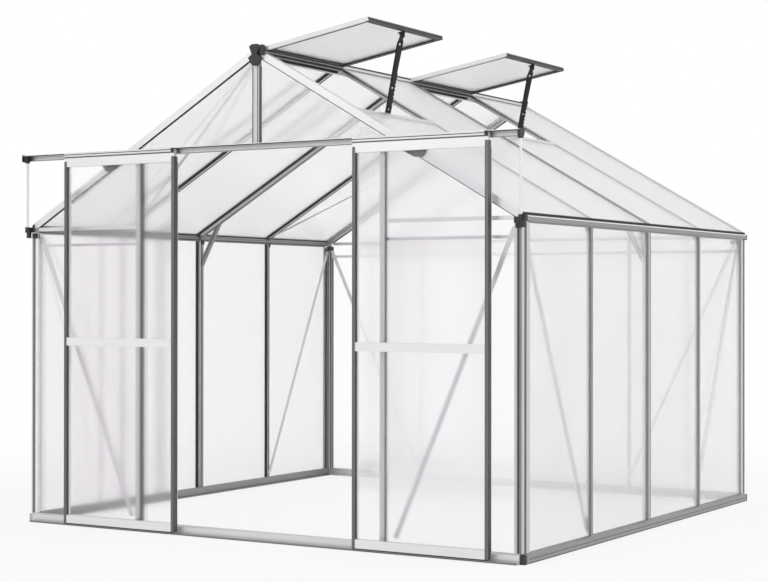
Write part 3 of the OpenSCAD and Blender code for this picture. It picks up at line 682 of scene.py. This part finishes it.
for y in (vent_low.y + LEAF_WIDE / 2, vent_high.y - LEAF_WIDE / 2):
    at = Vector((foot.x * MM, y, foot.y * MM))
    under_leaf = Vector((HINGE_X, y, RIDGE)) + leaf_out * stay_at * MM
    for outline, start, across, up, nearer, wide in (
            (web, at, stay_side, stay_dir, -3, 2.4), (back_edge, at, stay_side, stay_dir, -6, 8),
            (foot_plate, at, ACROSS_X, UP, 0.3, 4.4), (head_plate, under_leaf, leaf_out, leaf_up, 0.3, 4.4),
            (leaf_plate, under_leaf, leaf_out, leaf_up, -9, 16)):
        stays.append(extruded(outline, start + ACROSS_Y * nearer * MM, across, up, ACROSS_Y * wide * MM))
    for share, size in ((0.88, 4.6), (0.33, 3.2), (0.06, 2.6)):
        studs.append(extruded(rounded(size, 0, reach * share), at - ACROSS_Y * 4 * MM,
                              stay_side, stay_dir, ACROSS_Y * 1.2 * MM))
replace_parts(settled("vent_stay_channels", stay_black, stays), "vent_stays")
settled("vent_stay_studs", steel, studs)

# seal along the ridge and the end of the hinge rail
house = REAR - FRONT
settled("ridge_seal", rubber, [
    slope_run(1, flat(24, house / MM - 30, -2.8, -0.3), FRONT, 10.5 * MM, 19 * MM)])
settled("ridge_rim_line", rubber, [
    beam(flat(10.1, 11.5, -13, 3.4), 0, FRONT + 24 * MM, RIDGE, house - 30 * MM)])
hinge_end = [(26, -28), (33, -37), (46, -31), (48, -8), (45, 6), (37, 9), (27, 4)]
settled("hinge_rail_end", plastic, [beam(hinge_end, 0, FRONT - 14 * MM, RIDGE, 13.5 * MM)])

# eaves: lip outside pale as a painted highlight; lines and faces inside dark as painted shade
lip = beam(flat(7.05, 7.9, 17.4, 21.8), WALL, FRONT + 14 * MM, EAVE, house - 22 * MM)
settled("gutter_lips", lip_painted_highlight, [lip, mirrored(lip, 0)])
for name, finish, outlines in (
        ("eave_inner_painted_shade_lines", rubber,
         (flat(-17.4, -16.1, 0.2, 4), flat(-17.6, -16.1, 22.5, 28), flat(-16.6, -16.1, 12.5, 13.8))),
        ("eave_inner_faces", sill_painted_shade, (flat(-16.7, -16.1, 4.4, 12.2), flat(-16.7, -16.1, 14.2, 22.2)))):
    right_eave = gathered([beam(outline, WALL, FRONT + 30 * MM, EAVE, house - 60 * MM)
                           for outline in outlines])
    settled(name, finish, [right_eave, mirrored(right_eave, 0)])

# sills: darker lines where the grooves are, and a dark ledge on the front sill, as painted shade
side_low, side_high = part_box("base_frame_right")
side_line = gathered([
    beam(outline, side_high.x, side_low.y + 20 * MM, 0, side_high.y - side_low.y - 40 * MM)
    for outline in (flat(0.05, 0.6, 0.6, 4.4), flat(0.05, 0.5, 17, 20))])
settled("side_sill_lines", shaded_along, [side_line, mirrored(side_line, 0)])
front_low, front_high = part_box("base_frame_front")
for name, finish, outline in (("front_sill_ledge", mid_painted_shade, flat(-0.6, -0.05, 4.2, 8.9)),
                              ("front_sill_line", shaded_across, flat(-0.7, -0.05, 0.5, 4))):
    settled(name, finish, [
        rail(outline, front_low.x + 2 * MM, front_low.y, 0, front_high.x - front_low.x - 4 * MM)])

# knee braces of two slender bars each, dark as painted shade
knee_post, knee_end, knee_low = WALL / MM - 32.4, WALL / MM - 132, EAVE / MM - 141


def under_rafter(x):
    return ridge_mm - x * TAN - 32 / COS - 0.4


knee = [[(knee_post, knee_low), (knee_post, knee_low + 15),
         (knee_end - 5, under_rafter(knee_end - 5)), (knee_end - 18, under_rafter(knee_end - 18))],
        [(knee_post, knee_low + 31), (knee_post, knee_low + 46),
         (knee_end + 16, under_rafter(knee_end + 16)), (knee_end + 4, under_rafter(knee_end + 4))]]
right_knee = gathered([beam(outline, 0, MIDDLE_Y - 8 * MM, 0, 16 * MM) for outline in knee])
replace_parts(settled("knee_brace_bars", mid_painted_shade, [right_knee, mirrored(right_knee, 0)]), "knee_braces")

# screws of the track, their heads pale as a painted highlight
settled("track_screws", pale_painted_light, [
    beam(rounded(3.8, x, 9), 0, FRONT - 12.4 * MM, TRACK[0].z, 1.3 * MM) for x in (-18, -1)])

# ---------------------------------------------------------------- floor, light and camera

WHITE = (1, 1, 1, 1)
FLOOR_WIDE = 60
FADE_FROM, FADE_OVER = 2.2, 3.0


def seen_directly(tree_of):
    """1 for rays from the camera, mirrors and clear sheets, 0 for rays that carry light."""
    path = tree_of.node("LightPath")
    rays = [Wire(tree_of, path.outputs[name]) for name in
            ("Is Camera Ray", "Is Glossy Ray", "Is Transmission Ray")]
    return (rays[0] + rays[1] + rays[2]).least(1)


floor_finish = Finish("studio_floor")
away = floor_finish.wire("VectorMath", {"operation": "LENGTH"},
                         {0: floor_finish.place()}, "Value")
fade = ((away - FADE_FROM) / FADE_OVER).most(0).least(1)
floor_shade = floor_finish.node("BsdfDiffuse", values={"Color": (0.86, 0.86, 0.86, 1)})
floor_glow = floor_finish.node("Emission", values={"Color": WHITE, "Strength": 1.0})
floor_mix = floor_finish.node("MixShader", values={
    0: seen_directly(floor_finish) * (0.8 + fade * 0.2),
    1: Wire(floor_finish, floor_shade.outputs[0]),
    2: Wire(floor_finish, floor_glow.outputs[0])})
floor_finish.tree.links.new(floor_mix.outputs[0], floor_finish.end.inputs["Surface"])

bpy.ops.object.select_all(action="DESELECT")
bpy.ops.mesh.primitive_plane_add(size=FLOOR_WIDE, location=(0, 0, -MM))
floor = bpy.context.object
floor.name = "studio_floor"
floor.data.materials.append(floor_finish.material)

world = bpy.data.worlds.new("studio")
world.use_nodes = True
bpy.context.scene.world = world


class Sky(Finish):
    """The node tree of the world."""

    def __init__(self, owner):
        self.tree = owner.node_tree
        self.tree.nodes.clear()
        self.end = self.tree.nodes.new("ShaderNodeOutputWorld")


sky = Sky(world)
strength = 0.88 + seen_directly(sky) * 0.12
sky_glow = sky.node("Background", values={"Color": WHITE, "Strength": strength})
sky.tree.links.new(sky_glow.outputs[0], sky.end.inputs["Surface"])


def soft_lamp(name, place, target, size, power):
    lamp = bpy.data.lights.new(name, "AREA")
    lamp.shape, lamp.size, lamp.energy = "DISK", size, power
    held = bpy.data.objects.new(name, lamp)
    bpy.context.scene.collection.objects.link(held)
    held.location = place
    held.rotation_mode = "QUATERNION"
    held.rotation_quaternion = (Vector(target) - Vector(place)).to_track_quat("-Z", "Y")


soft_lamp("right_lamp", (6.5, -1.5, 5.5), (0, 0, 1), 4.0, 80)
soft_lamp("front_lamp", (-3.5, -8.0, 4.5), (0, 0, 1), 4.0, 40)

lens = bpy.data.cameras.new("camera")
lens.sensor_width, lens.lens = 36, 81.98
lens.clip_start, lens.clip_end = 0.1, 200
camera = bpy.data.objects.new("camera", lens)
bpy.context.scene.collection.objects.link(camera)
camera.location = (4.2775, -7.2495, 1.0263)
yaw, lift, roll = math.radians(31.201), math.radians(0.209), math.radians(-0.058)
camera.rotation_euler = (math.radians(90) + lift, roll, yaw)
bpy.context.scene.camera = camera

scene = bpy.context.scene
scene.view_settings.view_transform = "Standard"
scene.cycles.transparent_max_bounces = 40
